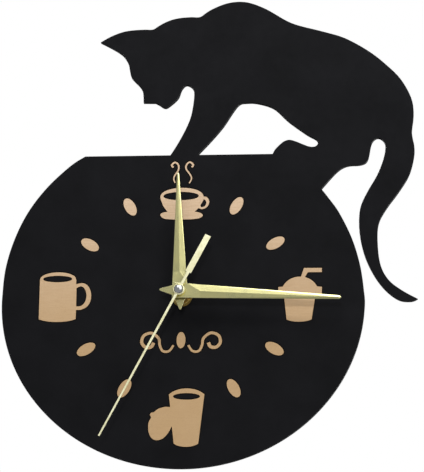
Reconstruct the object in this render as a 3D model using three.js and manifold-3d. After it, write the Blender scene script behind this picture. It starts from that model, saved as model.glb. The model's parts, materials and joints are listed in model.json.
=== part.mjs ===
// Wall clock with a black board cut as a cat lying on a round bowl, its tail hanging down one side.
//
// Face coordinates are used throughout: x to the right, y up, z out from the wall towards the
// viewer, in millimetres, with the hands' axis at x = y = 0 and the wall plane at z = 0.
// The last group turns them so that the front faces -Y and up is +Z.

import * as THREE from 'three';
import { mergeVertices } from 'three/addons/utils/BufferGeometryUtils.js';
import Module from 'manifold-3d';

const wasm = await Module();
wasm.setup();

// ---------------------------------------------------------------- driving dimensions

// Depths from the wall.
const CASE_RIM = 15.9;
const COVER_FRONT = 17.0;
const BOARD_BACK = 18.0;
const BOARD_FRONT = 21.0;
const WASHER_FRONT = 21.5;
const NUT_FRONT = 24.0;
const BUSH_FRONT = 26.5;
const HOUR_HAND_Z = 32.2;
const MINUTE_HAND_Z = 35.6;
const SECOND_HAND_Z = 38.7;

// Board and markers.
const MARKER_RADIUS = 66.7;
const MARKER_CENTRE = [-0.6, 0.4];
const POCKET_DEPTH = 0.4;
const INLAY_THICKNESS = 0.35;
const INLAY_GAP = 0.25;
const BEAN_LENGTH = 12.6;
const BEAN_WIDTH = 6.8;

// Hands: lengths from the axis, and where they stand at rest, clockwise from 12 in degrees.
const HOUR_HAND = { reach: 76.4, tail: 11.2, waist: 4.85, tip: 0.65, angle: 357.8 };
const MINUTE_HAND = { reach: 97.9, tail: 12.2, waist: 4.7, tip: 1.1, angle: 92.9 };
const SECOND_HAND = {
  reach: 101.0, tip: 0.55, waist: 0.8, neck: 0.95, hub: 3.5,
  paddle: 1.95, paddleStart: 12.0, paddleEnd: 38.0, angle: 207.0,
};

// Movement case.
const CASE_SIDE = 56.0;
const CASE_WALL = 1.2;
const BAY_TOP = -10.6;
const BAY_ROOF = 15.3;
const ROTOR = { pinion: [2.15, 4.2], magnet: 2.8, top: 7.0 };
const CELL = { y: -18.9, z: 7.75, radius: 7.2, length: 49.2, button: 2.7 };

// Shafts on the hands' axis: outer and inner radii of the nested tubes.
const SECOND_ARBOR = 0.6;
const MINUTE_TUBE = { outer: 1.35, inner: 0.85 };
const HOUR_TUBE = { outer: 2.15, inner: 1.6 };
const BUSH = { outer: 3.9, inner: 2.45, flange: 6.2, foot: 14.6, shoulder: 15.6 };

// What the hands are riveted to: radii, and where each starts from the wall.
const SECOND_TUBE = { inner: 0.75, outer: 1.5, back: 36.8 };
const MINUTE_COLLET = { inner: 1.5, outer: 2.8, back: 33.5 };
const HOUR_COLLET = { inner: 2.35, outer: 3.5, back: 29.6 };
const HAND_SHEET = 0.5;
const NUT = { bore: 4.0, radius: 6.0, chamfer: 0.5, slot: 1.2, slotDepth: 0.8 };
const WASHER = { bore: 4.1, radius: 6.3 };
const GASKET = { bore: 4.3, radius: 10 };
const SHAFT_HOLE = 4.3;
const CAP = { radius: 2.9, skirt: 0.6, crown: 1.7 };

// Gear train: tooth counts and modules. Each pair shares one module.
const TEETH = {
  rotor: 6, intermediate: 36, intermediatePinion: 6, second: 30, secondPinion: 6,
  third: 48, thirdPinion: 6, minute: 45, cannon: 8, motion: 24, motionPinion: 8,
  hour: 32, knob: 12,
};
const MODULE_ROTOR = 0.36;
const MODULE_SECOND = 0.56;
const MODULE_MINUTE = 0.4;
const MODULE_CANNON = 0.5;
const THIRD_DISTANCE = MODULE_MINUTE * (TEETH.thirdPinion + TEETH.minute) / 2;
const MOTION_DISTANCE = MODULE_CANNON * (TEETH.cannon + TEETH.motion) / 2;
const MODULE_THIRD = 2 * THIRD_DISTANCE / (TEETH.secondPinion + TEETH.third);
const MODULE_HOUR = 2 * MOTION_DISTANCE / (TEETH.motionPinion + TEETH.hour);

// Tooth form, in modules: wide running clearance, as on moulded clock wheels.
const ADDENDUM = 0.6;
const DEDENDUM = 0.9;
const ROOT_SHARE = 0.28;

// Layers of the train, from back to front.
const LAYER = {
  intermediate: [2.2, 2.9], intermediatePinion: [2.9, 4.4],
  second: [3.2, 4.0], secondPinion: [4.0, 6.2],
  third: [4.7, 5.5], thirdPinion: [5.5, 8.0],
  minute: [6.7, 7.5], cannon: [7.5, 9.6],
  motion: [8.4, 9.2], motionPinion: [9.2, 11.6],
  hour: [10.3, 11.3], knob: [8.0, 9.6],
};
const BRIDGE_Z = [12.4, 13.4];
const ARBOR_FOOT = 1.7;
const ARBOR_RADIUS = 0.5;

// ---------------------------------------------------------------- materials

function paint(colour, roughness, metalness = 0) {
  return new THREE.MeshStandardMaterial({ color: colour, roughness, metalness });
}

const MATERIAL = {
  board: paint(0x1c1d20, 0.75),
  tan: paint(0xb39b79, 0.8),
  gold: paint(0xd6d28c, 0.3, 1),
  silver: paint(0xc8c9c8, 0.18, 1),
  brass: paint(0xbea046, 0.3, 1),
  rubber: paint(0x111111, 0.9),
  case: paint(0x141416, 0.55),
  wheel: paint(0xe6e4dc, 0.5),
  circuit: paint(0x1f5a34, 0.5),
  chip: paint(0x0b0b0b, 0.35),
  copper: paint(0xb4602c, 0.35, 1),
  steel: paint(0x9a9da0, 0.35, 1),
  magnet: paint(0x4a4b4d, 0.5, 1),
  cell: paint(0x2f6e4e, 0.35, 0.3),
};

// ---------------------------------------------------------------- shape tools

const polar = (radius, degrees) => {
  const a = degrees * Math.PI / 180;
  return [radius * Math.cos(a), radius * Math.sin(a)];
};
const vectors = (pairs) => pairs.map(([x, y]) => new THREE.Vector2(x, y));
const shapeOf = (pairs) => new THREE.Shape(vectors(pairs));
const moved = (pairs, dx, dy) => pairs.map(([x, y]) => [x + dx, y + dy]);
const mirrored = (pairs) => pairs.map(([x, y]) => [-x, y]).reverse();

function turnedPairs(pairs, degrees) {
  const a = degrees * Math.PI / 180;
  return pairs.map(([x, y]) => [x * Math.cos(a) - y * Math.sin(a), x * Math.sin(a) + y * Math.cos(a)]);
}

function ellipse(cx, cy, rx, ry, count, from = 0, sweep = 360) {
  const steps = sweep === 360 ? count : count - 1;
  return Array.from({ length: count }, (_, i) => {
    const a = (from + sweep * i / steps) * Math.PI / 180;
    return [cx + rx * Math.cos(a), cy + ry * Math.sin(a)];
  });
}

const circle = (radius, count, cx = 0, cy = 0) => ellipse(cx, cy, radius, radius, count);

// Smooth curve through hand-set points, sampled in `steps` pieces per span.
function curve(pairs, steps = 3) {
  const path = new THREE.SplineCurve(vectors(pairs));
  return path.getPoints(steps * (pairs.length - 1)).map((p) => [p.x, p.y]);
}

// Joins stretches end to end, dropping repeated corners.
function outline(...stretches) {
  const all = stretches.flat();
  return all.filter(([x, y], i) => {
    const [px, py] = all[(i + all.length - 1) % all.length];
    return Math.hypot(x - px, y - py) > 0.02;
  });
}

// Moves every corner of an anticlockwise outline outwards by a distance.
function offset(pairs, distance) {
  const points = THREE.ShapeUtils.isClockWise(vectors(pairs)) ? [...pairs].reverse() : pairs;
  return points.map((p, i) => {
    const a = points[(i + points.length - 1) % points.length];
    const b = points[(i + 1) % points.length];
    const u = new THREE.Vector2(p[0] - a[0], p[1] - a[1]).normalize();
    const v = new THREE.Vector2(b[0] - p[0], b[1] - p[1]).normalize();
    const normal = new THREE.Vector2(u.y + v.y, -u.x - v.x).normalize();
    const reach = distance / Math.max(0.5, normal.dot(new THREE.Vector2(u.y, -u.x)));
    return [p[0] + normal.x * reach, p[1] + normal.y * reach];
  });
}

// A stroke of varying width along a centre line.
function stroke(centre, widths) {
  const left = [];
  const right = [];
  centre.forEach(([x, y], i) => {
    const a = centre[Math.max(0, i - 1)];
    const b = centre[Math.min(centre.length - 1, i + 1)];
    const along = new THREE.Vector2(b[0] - a[0], b[1] - a[1]).normalize();
    const t = i / (centre.length - 1);
    const half = THREE.MathUtils.lerp(widths[0], widths[1], t) / 2;
    left.push([x - along.y * half, y + along.x * half]);
    right.push([x + along.y * half, y - along.x * half]);
  });
  return [...left, ...right.reverse()];
}

function prism(pairs, z0, z1, holes = []) {
  const shape = shapeOf(pairs);
  shape.holes = holes.map((hole) => new THREE.Path(vectors(hole)));
  const geometry = new THREE.ExtrudeGeometry(shape, { depth: z1 - z0, bevelEnabled: false });
  return geometry.translate(0, 0, z0);
}

// Solid of revolution about the z axis from [radius, z] points.
function lathe(profile, segments = 24) {
  const closed = profile[0][0] > 0 ? [...profile, profile[0]] : profile;
  const geometry = new THREE.LatheGeometry(vectors(closed), segments);
  return geometry.rotateX(Math.PI / 2);
}

const tube = (inner, outer, z0, z1, segments = 20) =>
  lathe([[inner, z0], [outer, z0], [outer, z1], [inner, z1]], segments);
const rod = (radius, z0, z1, segments = 12) =>
  lathe([[0, z0], [radius, z0], [radius, z1], [0, z1]], segments);
const block = (x0, x1, y0, y1, z0, z1) =>
  prism([[x0, y0], [x1, y0], [x1, y1], [x0, y1]], z0, z1);

function roundedRectangle(x0, x1, y0, y1, radius, steps = 8) {
  return [
    ...ellipse(x1 - radius, y1 - radius, radius, radius, steps, 0, 90),
    ...ellipse(x0 + radius, y1 - radius, radius, radius, steps, 90, 90),
    ...ellipse(x0 + radius, y0 + radius, radius, radius, steps, 180, 90),
    ...ellipse(x1 - radius, y0 + radius, radius, radius, steps, 270, 90),
  ];
}

// ---------------------------------------------------------------- booleans

function toSolid(geometry) {
  const bare = geometry.index ? geometry.clone() : geometry;
  bare.deleteAttribute('normal');
  bare.deleteAttribute('uv');
  const merged = mergeVertices(bare, 1e-4);
  return new wasm.Manifold(new wasm.Mesh({
    numProp: 3,
    vertProperties: new Float32Array(merged.attributes.position.array),
    triVerts: new Uint32Array(merged.index.array),
  }));
}

function toGeometry(manifold) {
  const mesh = manifold.getMesh();
  const geometry = new THREE.BufferGeometry();
  geometry.setAttribute('position', new THREE.BufferAttribute(mesh.vertProperties, 3));
  geometry.setIndex(new THREE.BufferAttribute(mesh.triVerts, 1));
  return geometry;
}

const join = (...parts) => toGeometry(parts.map(toSolid).reduce((a, b) => a.add(b)));
const cut = (base, ...tools) => toGeometry(tools.map(toSolid).reduce((a, b) => a.subtract(b), toSolid(base)));

// ---------------------------------------------------------------- scene

const clock = new THREE.Group();
const face = new THREE.Group();
face.rotation.x = Math.PI / 2;
clock.add(face);

function add(name, geometry, material, { at = [0, 0], turn = 0 } = {}) {
  const mesh = new THREE.Mesh(geometry, material);
  mesh.name = name;
  mesh.position.set(at[0], at[1], 0);
  mesh.rotation.z = -turn * Math.PI / 180;
  face.add(mesh);
  return mesh;
}

// ---------------------------------------------------------------- marker outlines

// Each motif is an outline, the holes through it and its place on the board.

function teacup() {
  const cup = outline(
    ellipse(-1.6, 64.8, 13.5, 5.6, 13, 178, -172),
    curve([[12.3, 64.5], [14.3, 64], [15.7, 61.5], [15.3, 59], [13.5, 56.9], [10.9, 56.1], [9.2, 56.9]], 2),
    curve([[6.8, 54.7], [9.9, 54], [12, 52.3], [9.9, 50.4], [4.4, 49.6]], 2),
    curve([[-6.4, 49.6], [-12.5, 50.3], [-14.9, 52.6], [-13.7, 54.1], [-10.5, 54.8]], 2),
    curve([[-13.4, 59], [-14.9, 63]], 2),
  );
  const coffee = ellipse(-2.05, 64.95, 11.1, 2.65, 20);
  const handleHole = outline(
    [[12.2, 62.7], [11.4, 60.8], [10.3, 58.6], [10.6, 57.6], [12.4, 57.9], [13.7, 59.7], [13.5, 61.6]],
  );
  return { name: 'marker_12_teacup', line: cup, holes: [coffee, handleHole] };
}

function steamCurl(name, points) {
  return { name, line: stroke(curve(points, 2), [1.4, 0.9]), holes: [] };
}

function takeawayCup() {
  const line = outline(
    ellipse(72.4, 2, 11.4, 10.3, 7, 23, 51),
    [[77.3, 14.9], [85.9, 14.9], [85.9, 17.75], [74.8, 17.75]],
    ellipse(72.4, 2, 11.4, 10.3, 7, 87, 70),
    [[59.1, 5.75], [59.1, 1.1], [62.5, 1.1]],
    ellipse(72, -12.7, 9.7, 3.6, 7, 217.5, 105),
    [[82.1, 1.1], [85.9, 1.1], [85.9, 5.75]],
  );
  return { name: 'marker_03_takeaway_cup', line, holes: [] };
}

function tumbler() {
  const line = outline(
    ellipse(4.2, -66.4, 13.5, 9, 9, 36, 108),
    curve([[-6.4, -63.5], [-5.7, -68.9]], 1),
    curve([[-8.6, -68.7], [-12.6, -69.8], [-15.6, -72]], 2),
    curve([[-17.2, -72.4], [-18, -73.7], [-17.2, -75.3], [-18.6, -78.5], [-18.5, -84],
      [-16.3, -88.2], [-12.8, -89.3], [-9.2, -87.9], [-6.2, -84.5], [-4.4, -80.8]], 2),
    ellipse(4.45, -88.4, 9.5, 4.9, 7, 218, 104),
  );
  return { name: 'marker_06_tumbler', line, holes: [ellipse(4.15, -62.4, 8.2, 1.95, 20)] };
}

function mug() {
  const line = outline(
    ellipse(-77.6, 11.6, 11.4, 4.6, 10, 0, 180),
    ellipse(-77.1, -11.25, 14.5, 4.4, 8, 217, 106),
    [[-65.5, -8.1]],
    curve([[-62.8, -8], [-59, -6.2], [-56.7, -2.2], [-56.6, 3], [-58.7, 7.4], [-62, 9.2], [-66, 8.5]], 2),
  );
  const handleHole = outline(
    curve([[-65.5, -5.6], [-62.6, -5.4], [-60.1, -2.6], [-59.5, 1.8], [-60.9, 5.6], [-63.2, 7], [-65.7, 5.8]], 2),
  );
  return { name: 'marker_09_mug', line, holes: [ellipse(-77.8, 11.85, 9.1, 2, 20), handleHole] };
}

function bean(hour) {
  const outlineAtTop = ellipse(0, MARKER_RADIUS, BEAN_WIDTH / 2, BEAN_LENGTH / 2, 18);
  const name = `marker_${String(hour).padStart(2, '0')}_bean`;
  return { name, line: moved(turnedPairs(outlineAtTop, -30 * hour), ...MARKER_CENTRE), holes: [] };
}

// A scroll that curls in on itself, and the small bean between the two of them.
function scroll(name, flip) {
  const rise = [[4.5, -30.5], [7.2, -34.2], [11, -34.2], [13, -30.5]];
  const curl = Array.from({ length: 7 }, (_, i) => {
    const [x, y] = polar(6.2 - 0.56 * i, 160 - 55 * i);
    return [19.6 + x, -28.4 + y];
  });
  const line = stroke(curve([...rise, ...curl], 5), [1.5, 2.3]);
  return { name, line: flip ? mirrored(line) : line, holes: [] };
}

function dialBean() {
  return { name: 'dial_bean', line: ellipse(0, -27.4, 2.8, 5.2, 18), holes: [] };
}

const MOTIFS = [
  teacup(),
  steamCurl('steam_curl_left', [[-7.2, 83.9], [-8.5, 85.3], [-6.3, 87.2], [-4.2, 85.2], [-4.2, 82],
    [-6.4, 78.4], [-6.9, 76], [-6, 73.6]]),
  steamCurl('steam_curl_right', [[4.1, 83.9], [5.2, 85.3], [2.9, 87.3], [0.8, 85.2], [0.8, 82.6],
    [3.4, 78.8], [4.2, 76.2], [2.8, 73.2]]),
  takeawayCup(),
  tumbler(),
  mug(),
  ...[1, 2, 4, 5, 7, 8, 10, 11].map(bean),
  scroll('dial_scroll_left', true),
  scroll('dial_scroll_right', false),
  dialBean(),
];

// ---------------------------------------------------------------- board

// Bowl: two quarter ellipses below, freer curves above, a flat top edge at BOWL_TOP.
const BOWL_TOP = 92;
const BOWL = { x: 1, y: -2, right: 111.0, left: 113.3, drop: 104.4 };

function boardOutline() {
  const frontLeg = curve([[-9.5, BOWL_TOP], [-5, 99.6], [-0.2, 109.2], [3.1, 118.5], [4.7, 131], [3.7, 136.5],
    [-0.2, 139], [-3.2, 136.2], [-5.5, 130.2], [-11.2, 124.8], [-14.1, 123.9], [-17.4, 126], [-20, 127.4]]);
  const muzzle = curve([[-27.5, 127.6], [-28.2, 135], [-31.2, 139.8], [-35.8, 145], [-37.8, 153.4], [-41.5, 159.8],
    [-48, 164.6], [-56.4, 169.3]], 2);
  const head = curve([[-56.4, 169.3], [-50, 173.1], [-42, 176.2], [-34.2, 177.3], [-22.5, 177.6]], 2);
  const neck = curve([[-22.5, 177.6], [-15, 182.2], [-6.5, 184.9], [8.1, 185.8]], 2);
  const back = curve([[8.1, 185.8], [15, 190.6], [25.8, 194.8], [37.3, 195], [50, 189.9], [66.2, 180],
    [85.4, 174], [100, 169], [115.4, 159.6], [126.9, 149.6], [135.4, 140], [141.5, 127.7], [142.9, 116.9],
    [141.7, 104.6], [143.2, 92.4], [140, 77.9], [133.3, 66.3], [125.8, 55.8], [120.7, 45.8], [120, 33.3],
    [121.7, 19.2], [126.7, 9.6], [135, 2.9], [144, -2.2]]);
  const tailInside = curve([[144, -2.2], [140, -3.7], [132.5, -2.7], [124.2, 3.8], [117.1, 13.8], [111.7, 26.3],
    [108.8, 40.8], [109.2, 55], [113.3, 65.4], [120, 77.5], [124.2, 89.2], [124.8, 97.9], [120.8, 101.6],
    [116.8, 98.4], [114.2, 87.3], [110, 84.3], [101.5, 83.5], [95, 79.6], [85.4, 68.6]]);
  const bowlRight = curve([[85.4, 68.6], [90, 62.5], [96.5, 52.9], [104.5, 35.7], [109.6, 17.2],
    [BOWL.x + BOWL.right, BOWL.y]]);
  const bowlBottomRight = ellipse(BOWL.x, BOWL.y, BOWL.right, BOWL.drop, 24, 0, -90);
  const bowlBottomLeft = ellipse(BOWL.x, BOWL.y, BOWL.left, BOWL.drop, 24, -90, -90);
  const bowlLeft = curve([[BOWL.x - BOWL.left, BOWL.y], [-111.2, 17.8], [-106.5, 37.1], [-98.5, 55.4],
    [-86.9, 71.8], [-72.7, 85.8], [-63.5, BOWL_TOP]]);
  return outline(frontLeg, muzzle, head, neck, back, tailInside, bowlRight, bowlBottomRight, bowlBottomLeft,
    bowlLeft);
}

// The gap between the cat's legs and belly and the bowl's top edge.
function bellyGap() {
  return outline(
    curve([[7.7, BOWL_TOP], [15, 100], [23.5, 110.4], [30, 120.8], [33.8, 125.5], [38, 126.4], [45, 126],
      [55.4, 122.3], [64.6, 113.5], [76.2, 104.6], [82.3, 100.8], [82.5, 97.3], [77.7, 96.6], [65, 101.2],
      [57.7, 96.5], [54.8, BOWL_TOP]]),
  );
}

const HANGER = {
  x: 12, y: 150, width: 40, height: 9, screw: 16.5,
  sheet: 0.8, rise: 2.4, bridge: 10, tooth: 2.2, pitch: 2.5,
};

function board() {
  const blank = prism(boardOutline(), BOARD_BACK, BOARD_FRONT);
  const gap = prism(bellyGap(), BOARD_BACK - 1, BOARD_FRONT + 1);
  const floor = BOARD_FRONT - POCKET_DEPTH;
  const pockets = MOTIFS.map(({ line, holes }) => prism(
    offset(line, INLAY_GAP), floor, BOARD_FRONT + 1, holes.map((hole) => offset(hole, -INLAY_GAP)),
  ));
  const shaftHole = prism(circle(SHAFT_HOLE, 24), BOARD_BACK - 1, BOARD_FRONT + 1);
  const screwHoles = [-HANGER.screw, HANGER.screw].map(
    (dx) => prism(circle(1.45, 10, HANGER.x + dx, HANGER.y), BOARD_BACK - 1, BOARD_BACK + 2.3),
  );
  return cut(blank, gap, ...pockets, shaftHole, ...screwHoles);
}

add('front_plate', board(), MATERIAL.board);
for (const { name, line, holes } of MOTIFS) {
  const floor = BOARD_FRONT - POCKET_DEPTH;
  add(name, prism(line, floor, floor + INLAY_THICKNESS, holes), MATERIAL.tan);
}

// ---------------------------------------------------------------- hands

// A closed solid from an outline that is symmetric about the y axis: a flat back, low edges
// and a raised centre line. Stations are [y, half width, edge height, ridge height].
function facetedHand(stations, z, hole) {
  const points = [];
  for (const [y, half, edge, ridge] of stations) {
    points.push([-half, y, 0], [half, y, 0], [-half, y, edge], [half, y, edge], [0, y, ridge]);
  }
  const index = [];
  const quad = (a, b, c, d) => index.push(a, b, c, a, c, d);
  for (let i = 0; i < stations.length - 1; i++) {
    const a = 5 * i;
    const b = a + 5;
    quad(a, b, b + 1, a + 1);
    quad(a, a + 2, b + 2, b);
    quad(a + 1, b + 1, b + 3, a + 3);
    quad(a + 2, a + 4, b + 4, b + 2);
    quad(a + 4, a + 3, b + 3, b + 4);
  }
  const end = 5 * (stations.length - 1);
  index.push(0, 1, 3, 0, 3, 4, 0, 4, 2);
  index.push(end, end + 3, end + 1, end, end + 4, end + 3, end, end + 2, end + 4);
  const geometry = new THREE.BufferGeometry();
  geometry.setAttribute('position', new THREE.Float32BufferAttribute(points.flat(), 3));
  geometry.setIndex(index);
  return cut(geometry.translate(0, 0, z), prism(circle(hole, 16), z - 1, z + 3));
}

function dauphine({ reach, tail, waist, tip }, z, hole) {
  const slope = (waist - tip) / reach;
  const half = (y) => waist - slope * y;
  const flat = 0.9;
  const edge = 0.45;
  return facetedHand([
    [-tail, 0.35, edge, 0.6],
    [-tail + 0.7, 0.8, edge, 0.65],
    [-4.4, 3.0, flat, flat],
    [-3.5, half(-3.5), flat, flat],
    [4.6, half(4.6), flat, flat],
    [13, half(13), edge, flat],
    [reach - 0.8, tip + 0.05, edge, 0.75],
    [reach, tip * 0.5, edge, 0.6],
  ], z, hole);
}

add('hour_hand', dauphine(HOUR_HAND, HOUR_HAND_Z, HOUR_COLLET.inner), MATERIAL.gold,
  { turn: HOUR_HAND.angle });
add('minute_hand', dauphine(MINUTE_HAND, MINUTE_HAND_Z, MINUTE_COLLET.inner), MATERIAL.gold,
  { turn: MINUTE_HAND.angle });

function secondHand() {
  const { reach, tip, waist, neck, paddle, paddleStart, paddleEnd, hub } = SECOND_HAND;
  const side = [[tip, reach], [waist, 0], [neck, -paddleStart], [paddle, -paddleStart], [paddle, -paddleEnd]];
  const front = SECOND_HAND_Z + HAND_SHEET;
  return join(
    prism([...mirrored(side), ...side], SECOND_HAND_Z, front),
    prism(circle(hub, 24), SECOND_HAND_Z, front),
  );
}

add('second_hand', secondHand(), MATERIAL.gold, { turn: SECOND_HAND.angle });

function cap() {
  const { radius, skirt, crown } = CAP;
  const base = SECOND_HAND_Z + HAND_SHEET;
  const dome = ellipse(0, base + skirt, radius, crown, 6, 0, 90).slice(0, -1);
  return lathe([[0, base], [radius, base], ...dome, [0, base + skirt + crown]], 20);
}

add('second_hand_cap', cap(), MATERIAL.silver, { turn: SECOND_HAND.angle });
for (const [name, { inner, outer, back }, front, turn] of [
  ['second_hand_tube', SECOND_TUBE, SECOND_HAND_Z, SECOND_HAND.angle],
  ['minute_collet', MINUTE_COLLET, MINUTE_HAND_Z, MINUTE_HAND.angle],
  ['hour_collet', HOUR_COLLET, HOUR_HAND_Z, HOUR_HAND.angle],
]) {
  add(name, tube(inner, outer, back, front, 20), MATERIAL.brass, { turn });
}

// ---------------------------------------------------------------- fixing at the board

function nut() {
  const { bore, radius, chamfer, slot, slotDepth } = NUT;
  const body = lathe([[bore, WASHER_FRONT], [radius, WASHER_FRONT], [radius, NUT_FRONT - chamfer],
    [radius - chamfer, NUT_FRONT], [bore, NUT_FRONT]], 28);
  const groove = block(-radius - 1, radius + 1, -slot / 2, slot / 2, NUT_FRONT - slotDepth, NUT_FRONT + 1);
  return cut(body, groove);
}

add('fixing_nut', nut(), MATERIAL.brass, { turn: 20 });
add('brass_washer', tube(WASHER.bore, WASHER.radius, BOARD_FRONT, WASHER_FRONT, 28), MATERIAL.brass);
add('rubber_gasket', tube(GASKET.bore, GASKET.radius, COVER_FRONT, BOARD_BACK, 28), MATERIAL.rubber);
add('threaded_bush', lathe([
  [BUSH.inner, BUSH.foot], [BUSH.flange, BUSH.foot], [BUSH.flange, BUSH.shoulder], [BUSH.outer, BUSH.shoulder],
  [BUSH.outer, BUSH_FRONT - 0.4], [BUSH.outer - 0.4, BUSH_FRONT], [BUSH.inner, BUSH_FRONT],
], 24), MATERIAL.brass);

// ---------------------------------------------------------------- gear train

// Tooth centres stand at phase + i * pitch, in degrees.
function gearOutline(teeth, module, phase) {
  const radius = teeth * module / 2;
  const pitch = 360 / teeth;
  return Array.from({ length: teeth }, (_, i) => {
    const centre = phase + i * pitch;
    return [
      polar(radius - DEDENDUM * module, centre - ROOT_SHARE * pitch),
      polar(radius + ADDENDUM * module, centre),
      polar(radius - DEDENDUM * module, centre + ROOT_SHARE * pitch),
    ];
  }).flat();
}

const gear = (teeth, module, phase, layer, holes = []) =>
  prism(gearOutline(teeth, module, phase), layer[0], layer[1], holes);

// Phase of a follower that puts its gaps on the driver's teeth, for a follower standing at
// `direction` degrees from the driver.
const meshPhase = (driverTeeth, driverPhase, direction, teeth) =>
  direction + 180 - (driverPhase - direction) * driverTeeth / teeth - 180 / teeth;

const DIRECTION = { third: 60, intermediate: 150, rotor: 120, motion: -20, knob: 20 };
const INTERMEDIATE_AT = polar(MODULE_SECOND * (TEETH.intermediatePinion + TEETH.second) / 2,
  DIRECTION.intermediate);
const ROTOR_STEP = polar(MODULE_ROTOR * (TEETH.rotor + TEETH.intermediate) / 2, DIRECTION.rotor);
const ROTOR_AT = [INTERMEDIATE_AT[0] + ROTOR_STEP[0], INTERMEDIATE_AT[1] + ROTOR_STEP[1]];
const THIRD_AT = polar(THIRD_DISTANCE, DIRECTION.third);
const MOTION_AT = polar(MOTION_DISTANCE, DIRECTION.motion);
const KNOB_STEP = polar(MODULE_CANNON * (TEETH.knob + TEETH.motion) / 2, DIRECTION.knob);
const KNOB_AT = [MOTION_AT[0] + KNOB_STEP[0], MOTION_AT[1] + KNOB_STEP[1]];

function train() {
  const { intermediate, rotor, third, motion, knob } = DIRECTION;
  const intermediatePinionPhase = meshPhase(TEETH.second, intermediate, intermediate, TEETH.intermediatePinion);
  const rotorPhase = meshPhase(TEETH.intermediate, rotor, rotor, TEETH.rotor);
  const thirdPhase = meshPhase(TEETH.secondPinion, third, third, TEETH.third);
  const minutePhase = meshPhase(TEETH.thirdPinion, third + 180, third + 180, TEETH.minute);
  const motionPhase = meshPhase(TEETH.cannon, motion, motion, TEETH.motion);
  const hourPhase = meshPhase(TEETH.motionPinion, motion + 180, motion + 180, TEETH.hour);
  const knobPhase = meshPhase(TEETH.motion, motionPhase, knob, TEETH.knob);

  add('second_wheel', join(
    gear(TEETH.second, MODULE_SECOND, intermediate, LAYER.second),
    gear(TEETH.secondPinion, MODULE_THIRD, third, LAYER.secondPinion),
    rod(SECOND_ARBOR, ARBOR_FOOT, SECOND_HAND_Z - 0.2),
  ), MATERIAL.wheel);
  add('intermediate_wheel', join(
    gear(TEETH.intermediate, MODULE_ROTOR, rotor, LAYER.intermediate),
    gear(TEETH.intermediatePinion, MODULE_SECOND, intermediatePinionPhase, LAYER.intermediatePinion),
    rod(ARBOR_RADIUS, ARBOR_FOOT, BRIDGE_Z[1] - 0.3, 8),
  ), MATERIAL.wheel, { at: INTERMEDIATE_AT });
  add('rotor', join(
    gear(TEETH.rotor, MODULE_ROTOR, rotorPhase, ROTOR.pinion),
    rod(ROTOR.magnet, ROTOR.pinion[1], ROTOR.top, 18),
    rod(ARBOR_RADIUS, ARBOR_FOOT, BRIDGE_Z[1] - 0.3, 8),
  ), MATERIAL.magnet, { at: ROTOR_AT });
  add('third_wheel', join(
    gear(TEETH.third, MODULE_THIRD, thirdPhase, LAYER.third),
    gear(TEETH.thirdPinion, MODULE_MINUTE, third + 180, LAYER.thirdPinion),
    rod(ARBOR_RADIUS, ARBOR_FOOT, BRIDGE_Z[1] - 0.3, 8),
  ), MATERIAL.wheel, { at: THIRD_AT });
  add('minute_wheel', join(
    gear(TEETH.minute, MODULE_MINUTE, minutePhase, LAYER.minute, [circle(MINUTE_TUBE.inner, 16)]),
    gear(TEETH.cannon, MODULE_CANNON, motion, LAYER.cannon, [circle(MINUTE_TUBE.inner, 16)]),
    tube(MINUTE_TUBE.inner, MINUTE_TUBE.outer, LAYER.minute[0], MINUTE_HAND_Z + 0.5, 16),
  ), MATERIAL.wheel);
  add('motion_wheel', join(
    gear(TEETH.motion, MODULE_CANNON, motionPhase, LAYER.motion),
    gear(TEETH.motionPinion, MODULE_HOUR, motion + 180, LAYER.motionPinion),
    rod(ARBOR_RADIUS, 7.9, BRIDGE_Z[1] - 0.3, 8),
  ), MATERIAL.wheel, { at: MOTION_AT });
  add('hour_wheel', join(
    gear(TEETH.hour, MODULE_HOUR, hourPhase, LAYER.hour, [circle(HOUR_TUBE.inner, 20)]),
    tube(HOUR_TUBE.inner, HOUR_TUBE.outer, LAYER.hour[0], HOUR_HAND_Z + 0.5, 20),
  ), MATERIAL.wheel);
  add('setting_knob', join(
    gear(TEETH.knob, MODULE_CANNON, knobPhase, LAYER.knob),
    rod(1.1, 2.0, LAYER.knob[1], 12),
    prism(gearOutline(24, 0.42, 0), 0.5, 2.4),
  ), MATERIAL.wheel, { at: KNOB_AT });
}

train();

// ---------------------------------------------------------------- movement case

const HALF = CASE_SIDE / 2;
const LOOP = { y: 34.5, outer: 7, inner: 4.2, thickness: 3 };
// The recess wall clears the sweep of the second wheel's teeth.
const KNOB_RECESS = { radius: 6.2, floor: 3.2, skin: 0.7 };
const CASE_CORNER = 4;

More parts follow.
